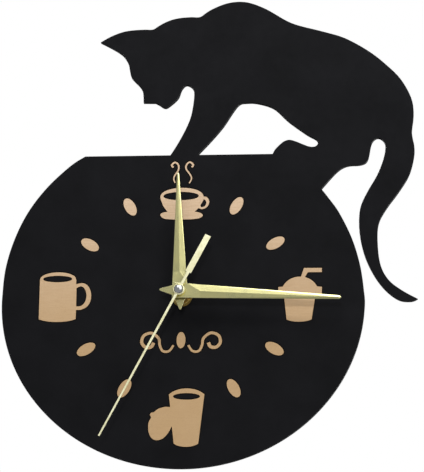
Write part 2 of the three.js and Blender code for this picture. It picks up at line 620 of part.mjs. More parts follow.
function rearCase() {
  const shell = prism(roundedRectangle(-HALF, HALF, -HALF, HALF, CASE_CORNER), 0, CASE_RIM);
  const loop = prism([[-LOOP.outer, HALF - 2], [LOOP.outer, HALF - 2],
    ...ellipse(0, LOOP.y, LOOP.outer, LOOP.outer, 25, 0, 180)], 0, LOOP.thickness);
  const inside = HALF - CASE_WALL;
  const trainRoom = block(-inside, inside, BAY_TOP + CASE_WALL, inside, CASE_WALL, CASE_RIM + 1);
  const bay = block(-inside, inside, -inside, BAY_TOP, -1, BAY_ROOF);
  const tower = (at) => rod(1.6, CASE_WALL - 0.2, ARBOR_FOOT + 0.3, 10).translate(at[0], at[1], 0);
  const pivot = (at) => rod(0.85, ARBOR_FOOT - 0.3, ARBOR_FOOT + 1, 10).translate(at[0], at[1], 0);
  const arbors = [[0, 0], INTERMEDIATE_AT, ROTOR_AT, THIRD_AT];
  const hollow = cut(join(shell, loop), trainRoom, bay,
    prism(circle(LOOP.inner, 32, 0, LOOP.y), -1, LOOP.thickness + 1));
  const recessWall = rod(KNOB_RECESS.radius + KNOB_RECESS.skin, CASE_WALL - 0.2,
    KNOB_RECESS.floor + KNOB_RECESS.skin, 40).translate(KNOB_AT[0], KNOB_AT[1], 0);
  const recess = rod(KNOB_RECESS.radius, -1, KNOB_RECESS.floor, 40).translate(KNOB_AT[0], KNOB_AT[1], 0);
  const knobHole = rod(1.5, 0, 8, 12).translate(KNOB_AT[0], KNOB_AT[1], 0);
  return cut(join(hollow, recessWall, ...arbors.map(tower)), recess, knobHole, ...arbors.map(pivot));
}

add('movement_rear_case', rearCase(), MATERIAL.case);
add('movement_front_cover', prism(roundedRectangle(-HALF, HALF, -HALF, HALF, CASE_CORNER), CASE_RIM, COVER_FRONT,
  [circle(BUSH.outer + 0.3, 24)]), MATERIAL.case);

function bridge() {
  const plate = roundedRectangle(-14.5, 12, -8.6, 20, 2.5, 3);
  const bores = [INTERMEDIATE_AT, ROTOR_AT, THIRD_AT, MOTION_AT].map(([x, y]) => circle(0.85, 10, x, y));
  return prism(plate, BRIDGE_Z[0], BRIDGE_Z[1], [circle(HOUR_TUBE.outer + 0.35, 20), ...bores]);
}

add('train_bridge', bridge(), MATERIAL.wheel);

// ---------------------------------------------------------------- motor and circuit

const COIL = { x: -21.5, y: 11.5, z: 6.4, length: 17, core: 24 };
const BOBBIN = { bore: 1.7, barrel: 2.2, flange: 4.3, cheek: 0.8 };
const WINDING = { inner: 2.3, outer: 3.9, gap: 0.1 };
const STATOR = { z: [4.8, 5.5], bore: 3.3, pole: 5.2, leg: 2.6 };

// Solid of revolution laid along y.
function alongY(profile, segments) {
  return lathe(profile, segments).rotateX(-Math.PI / 2).translate(COIL.x, COIL.y, COIL.z);
}

function motor() {
  const h = COIL.length / 2;
  const { bore, barrel, flange, cheek } = BOBBIN;
  add('coil_bobbin', alongY([[bore, -h], [flange, -h], [flange, -h + cheek], [barrel, -h + cheek],
    [barrel, h - cheek], [flange, h - cheek], [flange, h], [bore, h]], 20), MATERIAL.wheel);
  const end = h - cheek - WINDING.gap;
  add('coil_winding', alongY([[WINDING.inner, -end], [WINDING.outer, -end], [WINDING.outer, end],
    [WINDING.inner, end]], 20), MATERIAL.copper);
  add('coil_core', block(COIL.x - 1.1, COIL.x + 1.1, COIL.y - COIL.core / 2, COIL.y + COIL.core / 2,
    COIL.z - 0.8, COIL.z + 0.2), MATERIAL.steel);
  const [rx, ry] = ROTOR_AT;
  const low = COIL.y - COIL.core / 2;
  const high = COIL.y + COIL.core / 2;
  const { pole, leg } = STATOR;
  const stator = outline(
    [[COIL.x - 1.6, low], [COIL.x + 5, low], [rx + 1, ry - pole]],
    ellipse(rx, ry, pole, pole, 9, -70, 140),
    [[COIL.x + 5, high], [COIL.x - 1.6, high], [COIL.x - 1.6, high - leg], [COIL.x + 4.8, high - leg],
      [rx - 2.6, ry + 4.6], [rx - 4.2, ry + 1.8]],
    [[rx - 4.2, ry - 1.8], [rx - 2.6, ry - 4.6], [COIL.x + 4.8, low + leg], [COIL.x - 1.6, low + leg]],
  );
  add('stator', prism(stator, ...STATOR.z, [circle(STATOR.bore, 18, rx, ry)]), MATERIAL.steel);
}

motor();

const CIRCUIT_Z = [11.4, 12.4];
const CRYSTAL = { radius: 1.0, length: 6, gap: 0.1 };

function circuit() {
  const line = [[-26, -8.8], [-15.6, -8.8], [-15.6, 3.4], [-18.2, 3.4], [-18.2, 24.5], [-26, 24.5]];
  const top = CIRCUIT_Z[1];
  add('circuit_board', prism(line, ...CIRCUIT_Z), MATERIAL.circuit);
  add('chip_blob', lathe([[0, top], [2.6, top], [2.2, top + 0.7], [1.1, top + 1.1], [0, top + 1.2]], 14),
    MATERIAL.chip, { at: [-21, -3.5] });
  const can = rod(CRYSTAL.radius, -CRYSTAL.length / 2, CRYSTAL.length / 2, 10).rotateX(-Math.PI / 2);
  add('crystal_can', can.translate(0, 0, top + CRYSTAL.radius + CRYSTAL.gap), MATERIAL.silver,
    { at: [-21.5, 14] });
}

circuit();

// ---------------------------------------------------------------- battery

function cell() {
  const h = CELL.length / 2;
  const profile = [[0, -h], [CELL.radius - 0.6, -h], [CELL.radius, -h + 0.6], [CELL.radius, h - 0.6],
    [CELL.radius - 0.6, h], [CELL.button, h], [CELL.button, h + 1.1], [0, h + 1.1]];
  return lathe(profile, 28).rotateY(Math.PI / 2).translate(-0.4, CELL.y, CELL.z);
}

add('aa_battery', cell(), MATERIAL.cell);

// Bent strips that stand against the bay's end walls and bow towards the cell.
const STRIP = { sheet: 0.4, width: 7, foot: 2, top: 13.5, bowPositive: 0.9, bowNegative: 1.2 };

function contact(side) {
  const { sheet, width, foot, top } = STRIP;
  const wall = HALF - CASE_WALL - 0.1;
  const bow = side > 0 ? STRIP.bowPositive : STRIP.bowNegative;
  const profile = [[wall, foot], [wall, top], [wall - sheet, top], [wall - sheet, CELL.z + 3.2],
    [wall - bow, CELL.z + 1.1], [wall - bow, CELL.z - 1.1], [wall - sheet, CELL.z - 3.2], [wall - sheet, foot]];
  const strip = shapeOf(side > 0 ? profile : mirrored(profile));
  const geometry = new THREE.ExtrudeGeometry(strip, { depth: width, bevelEnabled: false });
  return geometry.rotateX(Math.PI / 2).translate(0, CELL.y + width / 2, 0);
}

add('battery_contact_positive', contact(1), MATERIAL.steel);
add('battery_contact_negative', contact(-1), MATERIAL.steel);

// ---------------------------------------------------------------- hanger on the cat's back

function sawtoothHanger() {
  const { width, height, sheet, rise, bridge, tooth, pitch } = HANGER;
  const w = width / 2;
  const back = BOARD_BACK;
  const under = bridge - 0.4;
  const profile = [[-w, back], [-w, back - sheet], [-bridge - 2, back - sheet], [-bridge, back - rise],
    [bridge, back - rise], [bridge + 2, back - sheet], [w, back - sheet], [w, back], [under + 2, back],
    [under, back - rise + sheet], [-under, back - rise + sheet], [-under - 2, back]];
  const strip = new THREE.ExtrudeGeometry(shapeOf(profile), { depth: height, bevelEnabled: false });
  strip.rotateX(Math.PI / 2).translate(0, height / 2, 0);
  const edge = -height / 2;
  const teeth = [-3, -2, -1, 0, 1, 2, 3].map((i) => prism([[pitch * i - tooth / 2, edge - 1],
    [pitch * i + tooth / 2, edge - 1], [pitch * i, edge + 1.6]], back - rise - 0.6, back - 1));
  const screwHoles = [-HANGER.screw, HANGER.screw].map(
    (dx) => prism(circle(1.5, 10, dx, 0), back - 2, back + 1));
  return cut(strip, ...teeth, ...screwHoles);
}

add('sawtooth_hanger', sawtoothHanger(), MATERIAL.steel, { at: [HANGER.x, HANGER.y] });
[['left', 1], ['right', -1]].forEach(([side, sign]) => {
  const head = BOARD_BACK - 0.8;
  add(`hanger_screw_${side}`, lathe([[0, head - 1.2], [1.8, head - 1.2], [2.6, head - 0.5], [2.6, head],
    [1.1, head], [1.1, BOARD_BACK + 1.5], [0, BOARD_BACK + 2.1]], 14), MATERIAL.steel,
  { at: [HANGER.x - sign * HANGER.screw, HANGER.y] });
});

export default clock;
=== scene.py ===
"""Looks of the cat wall clock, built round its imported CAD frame.

The helpers work in face coordinates, in millimetres: x to the right, y up and z out from the wall,
with the hands' axis at x = y = 0. FACE turns them into the frame's metres.
"""

import json
import math

import bmesh
import bpy
from mathutils import Matrix, Vector

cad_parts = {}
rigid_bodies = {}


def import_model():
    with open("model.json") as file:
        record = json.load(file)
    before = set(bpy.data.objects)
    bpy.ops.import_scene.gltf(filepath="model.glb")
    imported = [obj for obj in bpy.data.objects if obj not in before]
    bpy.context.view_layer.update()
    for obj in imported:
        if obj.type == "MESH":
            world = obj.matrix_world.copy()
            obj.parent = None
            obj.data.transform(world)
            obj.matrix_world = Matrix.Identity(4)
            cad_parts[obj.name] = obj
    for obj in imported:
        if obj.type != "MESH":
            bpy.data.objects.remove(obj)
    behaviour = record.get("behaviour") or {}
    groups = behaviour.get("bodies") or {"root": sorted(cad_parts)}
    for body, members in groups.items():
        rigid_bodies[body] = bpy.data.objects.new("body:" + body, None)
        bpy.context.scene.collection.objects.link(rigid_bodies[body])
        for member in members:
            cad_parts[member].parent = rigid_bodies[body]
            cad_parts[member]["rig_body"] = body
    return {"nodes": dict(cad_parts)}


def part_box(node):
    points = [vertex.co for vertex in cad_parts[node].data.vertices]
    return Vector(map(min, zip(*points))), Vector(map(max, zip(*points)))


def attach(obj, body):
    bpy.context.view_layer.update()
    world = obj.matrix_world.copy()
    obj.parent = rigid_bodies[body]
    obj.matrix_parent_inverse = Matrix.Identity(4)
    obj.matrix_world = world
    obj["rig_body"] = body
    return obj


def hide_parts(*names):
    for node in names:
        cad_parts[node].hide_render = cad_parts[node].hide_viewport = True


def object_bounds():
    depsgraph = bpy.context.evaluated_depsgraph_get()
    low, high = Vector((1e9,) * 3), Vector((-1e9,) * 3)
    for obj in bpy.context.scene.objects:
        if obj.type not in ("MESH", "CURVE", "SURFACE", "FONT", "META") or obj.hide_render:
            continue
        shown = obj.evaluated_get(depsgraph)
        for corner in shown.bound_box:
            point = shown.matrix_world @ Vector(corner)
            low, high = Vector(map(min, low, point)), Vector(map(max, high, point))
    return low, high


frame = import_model()
CAD_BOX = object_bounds()

MM = 0.001
FACE = Matrix(((MM, 0, 0, 0), (0, 0, -MM, 0), (0, MM, 0, 0), (0, 0, 0, 1)))


# ---------------------------------------------------------------- reading the frame


def span(node):
    """(lowest, highest) corner of a CAD node in face coordinates."""
    lo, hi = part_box(node)
    return Vector((lo.x, lo.z, -hi.y)) / MM, Vector((hi.x, hi.z, -lo.y)) / MM


def middle(node):
    lo, hi = span(node)
    return (lo + hi) / 2


def welded(node):
    """A CAD node's mesh in face coordinates, with its shared corners joined."""
    bm = bmesh.new()
    bm.from_mesh(frame["nodes"][node].data)
    bm.transform(FACE.inverted())
    bmesh.ops.remove_doubles(bm, verts=bm.verts, dist=0.002)
    return bm


def flat_loops(node, level):
    """Outlines of a node's flat faces at `level` from the wall, with material on their left."""
    bm = welded(node)
    flat = {f for f in bm.faces if all(abs(v.co.z - level) < 0.01 for v in f.verts)}
    follow = {}
    for face in flat:
        for corner in face.loops:
            if sum(f in flat for f in corner.edge.link_faces) == 1:
                a, b = corner.vert, corner.link_loop_next.vert
                if face.normal.z < 0:
                    a, b = b, a
                follow[a] = b
    loops = []
    while follow:
        start, vert = follow.popitem()
        chain = [start]
        while vert is not start:
            chain.append(vert)
            vert = follow.pop(vert)
        loops.append([v.co.xy.copy() for v in chain])
    bm.free()
    return loops


def radii(node, axis="z"):
    """(inner, outer) radius of a turned CAD node about its own axis."""
    centre = middle(node)
    drop = "xyz".index(axis)
    bm = welded(node)
    reach = []
    for vert in bm.verts:
        away = vert.co - centre
        away[drop] = 0
        reach.append(away.length)
    bm.free()
    return min(reach), max(reach)


# ---------------------------------------------------------------- outlines

CORNER = 48
UNEVEN = 3.5
UNEVEN_TURN = 6


def finer(loop, step=0.8):
    """The same outline with its curved stretches drawn smoothly. Real corners stay sharp."""
    n = len(loop)
    length = [(loop[(i + 1) % n] - loop[i]).length for i in range(n)]
    sharp = []
    for i in range(n):
        before, after = loop[i] - loop[i - 1], loop[(i + 1) % n] - loop[i]
        turn = math.degrees(before.angle(after, 0))
        uneven = max(length[i - 1], length[i]) > UNEVEN * min(length[i - 1], length[i])
        sharp.append(turn > CORNER or (uneven and turn > UNEVEN_TURN))

    def tangent(i, side):
        ahead = (loop[(i + 1) % n] - loop[i]) / length[i]
        behind = (loop[i] - loop[i - 1]) / length[i - 1]
        if sharp[i]:
            return ahead if side > 0 else behind
        total = length[i] + length[i - 1]
        return (behind * length[i] + ahead * length[i - 1]) / total

    points = []
    for i in range(n):
        j = (i + 1) % n
        a, b, far = loop[i], loop[j], length[i]
        ta, tb = tangent(i, 1) * far, tangent(j, -1) * far
        count = max(1, round(far / step))
        for k in range(count):
            t = k / count
            points.append(
                a * (2 * t**3 - 3 * t**2 + 1)
                + ta * (t**3 - 2 * t**2 + t)
                + b * (3 * t**2 - 2 * t**3)
                + tb * (t**3 - t**2)
            )
    return points


def inset(loop, distance):
    """The outline moved towards its material."""
    n = len(loop)
    moved = []
    for i in range(n):
        u = (loop[i] - loop[i - 1]).normalized()
        v = (loop[(i + 1) % n] - loop[i]).normalized()
        normal = Vector((-u.y - v.y, u.x + v.x)).normalized()
        reach = distance / max(0.5, normal.dot(Vector((-u.y, u.x))))
        moved.append(loop[i] + normal * reach)
    return moved


def arc(cx, cy, radius, start, end, count):
    """Points of a circle between two angles in degrees."""
    angles = [math.radians(start + (end - start) * i / (count - 1)) for i in range(count)]
    return [Vector((cx + radius * math.cos(a), cy + radius * math.sin(a))) for a in angles]


def circle(radius, count, cx=0, cy=0):
    return arc(cx, cy, radius, 0, 360, count + 1)[:-1]


def rectangle(x0, x1, y0, y1):
    return [Vector(p) for p in ((x0, y0), (x1, y0), (x1, y1), (x0, y1))]


def eased(profile, radius, steps=3):
    """A profile of (radius, height) points with its corners rounded."""
    points = [Vector(p) for p in profile]
    out = []
    for i, p in enumerate(points):
        before, after = points[i - 1], points[(i + 1) % len(points)]
        on_axis = p.x < 1e-6
        if on_axis:
            out.append(p)
            continue
        r = min(radius, (p - before).length * 0.45, (p - after).length * 0.45)
        a, b = p + (before - p).normalized() * r, p + (after - p).normalized() * r
        for k in range(steps + 1):
            t = k / steps
            out.append(a * (1 - t) ** 2 + p * 2 * t * (1 - t) + b * t**2)
    return [tuple(p) for p in out]


# ---------------------------------------------------------------- meshes


def walls(bm, loop, steps, slots=None):
    """Rings of one outline at (inset, z) steps, joined into walls. Returns the first and last ring."""
    rings = [[bm.verts.new((*p, z)) for p in inset(loop, d)] for d, z in steps]
    n = len(loop)
    for k in range(len(rings) - 1):
        for i in range(n):
            j = (i + 1) % n
            face = bm.faces.new((rings[k][i], rings[k][j], rings[k + 1][j], rings[k + 1][i]))
            face.material_index = slots[k] if slots else 0
    return rings[0], rings[-1]


def cap(bm, rings, slot=0):
    """Fills the flat area that these rings bound."""
    edges = []
    for ring in rings:
        for i, vert in enumerate(ring):
            other = ring[(i + 1) % len(ring)]
            edges.append(bm.edges.get((vert, other)) or bm.edges.new((vert, other)))
    made = bmesh.ops.triangle_fill(bm, use_beauty=True, edges=edges)
    for item in made["geom"]:
        if isinstance(item, bmesh.types.BMFace):
            item.material_index = slot


def round_over(front, radius, steps=3):
    """(inset, z) steps of a rounded edge, from the front face down."""
    angles = [math.pi / 2 * (1 - k / steps) for k in range(steps + 1)]
    return [(radius * (1 - math.cos(a)), front - radius * (1 - math.sin(a))) for a in angles]


def slab(loops, back, front, edge=0.1, wall_slot=0, steps=2, back_edge=None):
    """A flat plate with rounded front and back edges."""
    bm = bmesh.new()
    over = round_over(front, edge, steps)
    under = round_over(0, back_edge or edge, steps)
    under = [(d, back - z) for d, z in reversed(under)]
    fronts, backs = [], []
    for loop in loops:
        first, last = walls(bm, loop, over + under, [wall_slot] * (2 * steps + 1))
        fronts.append(first)
        backs.append(last)
    cap(bm, fronts)
    cap(bm, backs)
    return bm


def prism(loop, z0, z1):
    bm = bmesh.new()
    first, last = walls(bm, loop, [(0, z1), (0, z0)])
    cap(bm, [first])
    cap(bm, [last])
    return bm


def lathe(profile, segments=64, slots=None):
    """Solid of revolution about z from (radius, z) points. A ring's profile is closed by itself."""
    bm = bmesh.new()
    rings = []
    for r, z in profile:
        if r < 1e-6:
            rings.append([bm.verts.new((0, 0, z))] * segments)
        else:
            turned = [Matrix.Rotation(2 * math.pi * i / segments, 4, "Z") for i in range(segments)]
            rings.append([bm.verts.new(m @ Vector((r, 0, z))) for m in turned])
    hollow = profile[0][0] > 1e-6
    for k in range(len(rings) if hollow else len(rings) - 1):
        low, high = rings[k], rings[(k + 1) % len(rings)]
        for i in range(segments):
            j = (i + 1) % segments
            corners = list(dict.fromkeys((low[i], low[j], high[j], high[i])))
            if len(corners) > 2:
                face = bm.faces.new(corners)
                face.material_index = slots[k] if slots else 0
    return bm


def placed(bm, *matrices):
    for m in matrices:
        bm.transform(m)
    return bm


def at(x=0, y=0, z=0):
    return Matrix.Translation((x, y, z))


def turned(degrees, axis="Z"):
    return Matrix.Rotation(math.radians(degrees), 4, axis)


def joined(*parts):
    """Several separate bodies in one mesh."""
    whole = bmesh.new()
    for part in parts:
        mesh = bpy.data.meshes.new("part")
        part.to_mesh(mesh)
        part.free()
        whole.from_mesh(mesh)
        bpy.data.meshes.remove(mesh)
    return whole


def combined(base, tool, operation="DIFFERENCE"):
    """Boolean of two closed meshes."""
    work = []
    for bm in (base, tool):
        bmesh.ops.recalc_face_normals(bm, faces=bm.faces)
        mesh = bpy.data.meshes.new("work")
        bm.to_mesh(mesh)
        bm.free()
        obj = bpy.data.objects.new("work", mesh)
        bpy.context.scene.collection.objects.link(obj)
        work.append(obj)
    modifier = work[0].modifiers.new("boolean", "BOOLEAN")
    modifier.operation = operation
    modifier.solver = "EXACT"
    modifier.object = work[1]
    result = bmesh.new()
    result.from_object(work[0], bpy.context.evaluated_depsgraph_get())
    for obj in work:
        mesh = obj.data
        bpy.data.objects.remove(obj)
        bpy.data.meshes.remove(mesh)
    return result


def bevelled(bm, width, angle=30, segments=2, slot=None):
    """Rounds every edge that turns by more than `angle` degrees."""
    bmesh.ops.remove_doubles(bm, verts=bm.verts, dist=1e-4)
    bmesh.ops.recalc_face_normals(bm, faces=bm.faces)
    bmesh.ops.dissolve_limit(bm, angle_limit=math.radians(0.6), verts=bm.verts, edges=bm.edges)
    limit = math.radians(angle)
    edges = [e for e in bm.edges if len(e.link_faces) == 2 and e.calc_face_angle(0) > limit]
    made = bmesh.ops.bevel(
        bm,
        geom=edges,
        offset=width,
        offset_type="OFFSET",
        segments=segments,
        profile=0.5,
        affect="EDGES",
        clamp_overlap=True,
    )
    if slot is not None:
        for face in made["faces"]:
            face.material_index = slot
    return bm


def piece(bm, name, body, materials, smooth=32):
    """A finished object that rides on a CAD body."""
    bmesh.ops.recalc_face_normals(bm, faces=bm.faces)
    bm.transform(FACE)
    mesh = bpy.data.meshes.new(name)
    bm.to_mesh(mesh)
    bm.free()
    for material in materials:
        mesh.materials.append(material)
    mesh.polygons.foreach_set("use_smooth", [True] * len(mesh.polygons))
    mesh.set_sharp_from_angle(angle=math.radians(smooth))
    obj = bpy.data.objects.new(name, mesh)
    bpy.context.scene.collection.objects.link(obj)
    shading = obj.modifiers.new("even_shading", "WEIGHTED_NORMAL")
    shading.keep_sharp = True
    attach(obj, body)
    return obj


def stands_for(node, bm, slot, *materials, smooth=32):
    """A finished object in place of a CAD node."""
    body = frame["nodes"][node]["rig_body"]
    obj = piece(bm, f"{node}_finished", body, materials, smooth)
    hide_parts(node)
    return obj


# ---------------------------------------------------------------- material nodes


class Shader:
    """A new material with a Principled shader, and short calls for the nodes that feed it."""

    def __init__(self, name, **constants):
        self.material = bpy.data.materials.new(name)
        self.material.use_nodes = True
        self.tree = self.material.node_tree
        self.bsdf = self.tree.nodes["Principled BSDF"]
        for key, value in constants.items():
            self.bsdf.inputs[key.replace("_", " ")].default_value = value

    def link(self, value, socket):
        if isinstance(value, bpy.types.NodeSocket):
            self.tree.links.new(value, socket)
        else:
            socket.default_value = value

    def node(self, kind, settings=(), **inputs):
        made = self.tree.nodes.new(kind)
        for key, value in dict(settings).items():
            setattr(made, key, value)
        for key, value in inputs.items():
            self.link(value, made.inputs[key.replace("_", " ")])
        return made

    def place(self, scale=(1, 1, 1), spin=0.0, origin=(0, 0, 0)):
        """Object coordinates in metres, turned by `spin` about the hands' axis and then scaled."""
        start = self.node("ShaderNodeTexCoord").outputs["Object"]
        moved = self.node("ShaderNodeVectorMath", {"operation": "SUBTRACT"})
        self.link(start, moved.inputs[0])
        moved.inputs[1].default_value = origin
        rotated = self.node("ShaderNodeMapping", Vector=moved.outputs[0], Rotation=(0, spin, 0))
        scaled = self.node("ShaderNodeMapping", Vector=rotated.outputs[0], Scale=scale)
        return scaled.outputs[0]

    def noise(self, scale, detail=3.0, rough=0.55, where=None):
        where = where if where is not None else self.place()
        made = self.node(
            "ShaderNodeTexNoise", Vector=where, Scale=scale, Detail=detail, Roughness=rough
        )
        return made.outputs["Fac"]

    def spread(self, value, low, high, start=0.3, end=0.7):
        """A value from `start` to `end` taken to the range from `low` to `high`."""
        made = self.node("ShaderNodeMapRange")
        for key, number in (("From Min", start), ("From Max", end), ("To Min", low), ("To Max", high)):
            made.inputs[key].default_value = number
        self.link(value, made.inputs["Value"])
        return made.outputs["Result"]

    def blend(self, factor, a, b, kind="MIX"):
        made = self.node("ShaderNodeMix", {"data_type": "RGBA", "blend_type": kind})
        colours = [s for s in made.inputs if s.type == "RGBA"]
        self.link(factor, made.inputs[0])
        for value, socket in zip((a, b), colours):
            if isinstance(value, tuple):
                value = (*value, 1.0)
            self.link(value, socket)
        return next(s for s in made.outputs if s.type == "RGBA")

    def add(self, a, b, share=1.0):
        made = self.node("ShaderNodeMath", {"operation": "MULTIPLY_ADD"})
        self.link(b, made.inputs[0])
        made.inputs[1].default_value = share
        self.link(a, made.inputs[2])
        return made.outputs[0]

    def finish(self, colour=None, roughness=None, height=None, depth=0.0, strength=1.0):
        """Links the results. `depth` is the relief in millimetres."""
        if colour is not None:
            self.link(colour, self.bsdf.inputs["Base Color"])
        if roughness is not None:
            self.link(roughness, self.bsdf.inputs["Roughness"])
        if height is not None:
            bump = self.node("ShaderNodeBump", Height=height, Strength=strength, Distance=depth * MM)
            self.link(bump.outputs["Normal"], self.bsdf.inputs["Normal"])
        return self.material


# ---------------------------------------------------------------- materials


def board_paint(name, light, dark, rough, specular):
    """Matt black lacquer with a fine spray texture and faint cloudy variation."""
    s = Shader(name, Specular_IOR_Level=specular)
    cloud = s.noise(38, 4)
    grit = s.noise(2300, 2)
    colour = s.blend(s.spread(s.add(cloud, grit, 0.35), 0, 1, 0.45, 0.85), dark, light)
    roughness = s.spread(s.noise(260, 3), rough - 0.05, rough + 0.06)
    return s.finish(colour, roughness, s.add(grit, s.noise(700, 2), 0.6), 0.035, 0.7)


def cut_edge():
    """Side of the board: fibres blackened by the cutter, in layers along the thickness."""
    s = Shader("board_cut_edge", Specular_IOR_Level=0.08)
    layers = s.noise(1, 3, where=s.place((500, 2600, 500)))
    colour = s.blend(s.spread(layers, 0, 1), (0.0018, 0.0017, 0.0018), (0.0055, 0.0050, 0.0048))
    return s.finish(colour, s.spread(layers, 0.8, 0.95), layers, 0.08)


def veneer():
    """Tan wood-fibre inlay with a soft horizontal grain and pores. It pales towards the top: painted light, as if
    the top were lit more.
    """
    s = Shader("tan_veneer", Specular_IOR_Level=0.22)
    grain = s.noise(1, 4, where=s.place((110, 110, 1500)))
    cloud = s.noise(90, 3)
    pores = s.noise(2600, 2)
    # Painted light: the tan is mixed paler with height, as if lit from above, with a faint cloudy tone added in.
    height = s.node("ShaderNodeSeparateXYZ", Vector=s.place()).outputs["Z"]
    painted_top_light_and_cloud = s.add(s.spread(height, 0, 1, -0.03, 0.07), cloud, 0.25)
    base = s.blend(s.spread(painted_top_light_and_cloud, 0, 1, 0.1, 1.1), (0.47, 0.310, 0.158), (0.66, 0.485, 0.330))
    streaked = s.blend(s.spread(grain, 0.0, 0.35), base, (0.43, 0.275, 0.145))
    colour = s.blend(s.spread(pores, 0.22, 0.0, 0.30, 0.48), streaked, (0.30, 0.18, 0.09))
    return s.finish(colour, s.spread(grain, 0.70, 0.86), s.add(grain, pores, 0.8), 0.03)


def burnt_edge():
    """Edge of an inlay, browned where it was cut."""
    s = Shader("inlay_burnt_edge", Specular_IOR_Level=0.15)
    speck = s.noise(1500, 3)
    colour = s.blend(s.spread(speck, 0, 1), (0.030, 0.017, 0.009), (0.115, 0.066, 0.034))
    return s.finish(colour, 0.85, speck, 0.03)


def brushed(name, light, dark, rough, spin=0.0, depth=0.006, turn=0.5):
    """Metal brushed along a hand that stands at `spin` radians clockwise from 12."""
    s = Shader(name, Metallic=1.0, Anisotropic=turn)
    lines = s.noise(1, 3, 0.7, s.place((9000, 3000, 160), -spin))
    cloud = s.noise(140, 3)
    mixed = s.add(lines, cloud, 0.6)
    colour = s.blend(s.spread(mixed, 0, 1, 0.55, 1.05), dark, light)
    roughness = s.spread(mixed, rough + 0.07, rough - 0.05, 0.55, 1.05)
    return s.finish(colour, roughness, lines, depth, 0.6)


def turned_metal(name, light, dark, rough, origin=(0, 0, 0)):
    """Metal turned on a lathe: fine rings about the axis, with stained hollows."""
    s = Shader(name, Metallic=1.0)
    rings = s.node(
        "ShaderNodeTexWave",
        {"wave_type": "RINGS", "rings_direction": "Y"},
        Vector=s.place(origin=origin),
        Scale=2200.0,
        Distortion=0.6,
        Detail=1.0,
    ).outputs["Fac"]
    stain = s.noise(420, 4)
    colour = s.blend(s.spread(stain, 0, 1, 0.35, 0.72), light, dark)
    roughness = s.spread(stain, rough - 0.03, rough + 0.14)
    return s.finish(colour, roughness, rings, 0.006, 0.5)


def polished(name, light, dark, rough):
    """Plated metal with faint wiping marks."""
    s = Shader(name, Metallic=1.0)
    haze = s.noise(520, 3)
    scratch = s.noise(1, 2, where=s.place((3500, 300, 5200), 0.6))
    colour = s.blend(s.spread(haze, 0, 1), dark, light)
    roughness = s.spread(s.add(haze, scratch, 0.5), rough - 0.03, rough + 0.08, 0.5, 1.0)
    return s.finish(colour, roughness, scratch, 0.002, 0.4)


def moulded(name, light, dark, rough, grain, depth, specular=0.5):
    """Moulded plastic with the spark-eroded texture of its tool."""
    s = Shader(name, Specular_IOR_Level=specular)
    texture = s.noise(grain, 3)
    flow = s.noise(70, 3)
    colour = s.blend(s.spread(s.add(flow, texture, 0.3), 0, 1, 0.45, 0.85), dark, light)
    return s.finish(colour, s.spread(flow, rough - 0.04, rough + 0.08), texture, depth, 0.8)


def plated_steel():
    """Zinc plate, with the faint spangle of its crystals."""
    s = Shader("zinc_plate", Metallic=1.0)
    cells = s.node("ShaderNodeTexVoronoi", Vector=s.place(), Scale=620.0).outputs["Color"]
    grey = s.node("ShaderNodeRGBToBW", Color=cells).outputs[0]
    haze = s.noise(300, 3)
    colour = s.blend(s.spread(grey, 0, 1, 0.1, 0.9), (0.40, 0.41, 0.42), (0.62, 0.63, 0.64))
    return s.finish(colour, s.spread(s.add(haze, grey, 0.3), 0.26, 0.46, 0.4, 0.9), haze, 0.01)


def winding():
    """Enamelled copper wire laid turn by turn."""
    s = Shader("copper_winding", Metallic=0.85, Coat_Weight=0.4, Coat_Roughness=0.2)
    turns = s.node(
        "ShaderNodeTexWave",
        {"wave_type": "BANDS", "bands_direction": "Z"},
        Vector=s.place(),
        Scale=1300.0,
        Distortion=0.3,
    ).outputs["Fac"]
    colour = s.blend(s.spread(turns, 0, 1), (0.30, 0.105, 0.03), (0.66, 0.28, 0.11))
    return s.finish(colour, s.spread(s.noise(400), 0.25, 0.42), turns, 0.04)


def circuit_mask():
    """Green solder mask over copper tracks."""
    s = Shader("solder_mask", Coat_Weight=0.5, Coat_Roughness=0.15)
    tracks = s.node(
        "ShaderNodeTexBrick",
        {"offset": 0.5},
        Vector=s.place((1, 1, 1), origin=(0, 0, 0)),
        Scale=150.0,
        Mortar_Size=0.045,
        Color1=(0, 0, 0, 1),
        Color2=(0, 0, 0, 1),
        Mortar=(1, 1, 1, 1),
    ).outputs["Color"]
    flat = s.node("ShaderNodeRGBToBW", Color=tracks).outputs[0]
    weave = s.noise(900, 2)
    base = s.blend(s.spread(weave, 0, 1), (0.006, 0.070, 0.026), (0.010, 0.100, 0.038))
    colour = s.blend(flat, base, (0.030, 0.210, 0.080))
    return s.finish(colour, s.spread(weave, 0.34, 0.46), flat, 0.03)


BLACK_FACE = board_paint("board_lacquer", (0.0078, 0.0078, 0.0090), (0.0054, 0.0054, 0.0062), 0.62, 0.05)
BLACK_RIM = board_paint("board_lacquer_rim", (0.0095, 0.0095, 0.0105), (0.0065, 0.0065, 0.0072), 0.55, 0.06)
BLACK_EDGE = cut_edge()
TAN = veneer()
TAN_EDGE = burnt_edge()
BRASS = turned_metal("turned_brass", (0.86, 0.64, 0.21), (0.64, 0.45, 0.12), 0.30)
NICKEL = polished("nickel_plate", (0.86, 0.86, 0.85), (0.72, 0.72, 0.72), 0.10)
STEEL = plated_steel()
CASE = moulded("black_case_plastic", (0.022, 0.022, 0.023), (0.016, 0.016, 0.017), 0.44, 3200, 0.03)
CASE_WORN = moulded("black_case_edges", (0.036, 0.036, 0.037), (0.024, 0.024, 0.025), 0.32, 900, 0.01)
ACETAL = moulded("white_acetal", (0.80, 0.79, 0.74), (0.70, 0.69, 0.63), 0.38, 1400, 0.006)
ACETAL_WORN = moulded("white_acetal_edges", (0.86, 0.85, 0.81), (0.76, 0.75, 0.70), 0.28, 700, 0.004)
RUBBER = moulded("black_rubber", (0.020, 0.020, 0.020), (0.011, 0.011, 0.011), 0.80, 1700, 0.02, 0.25)
COPPER = winding()
MASK = circuit_mask()
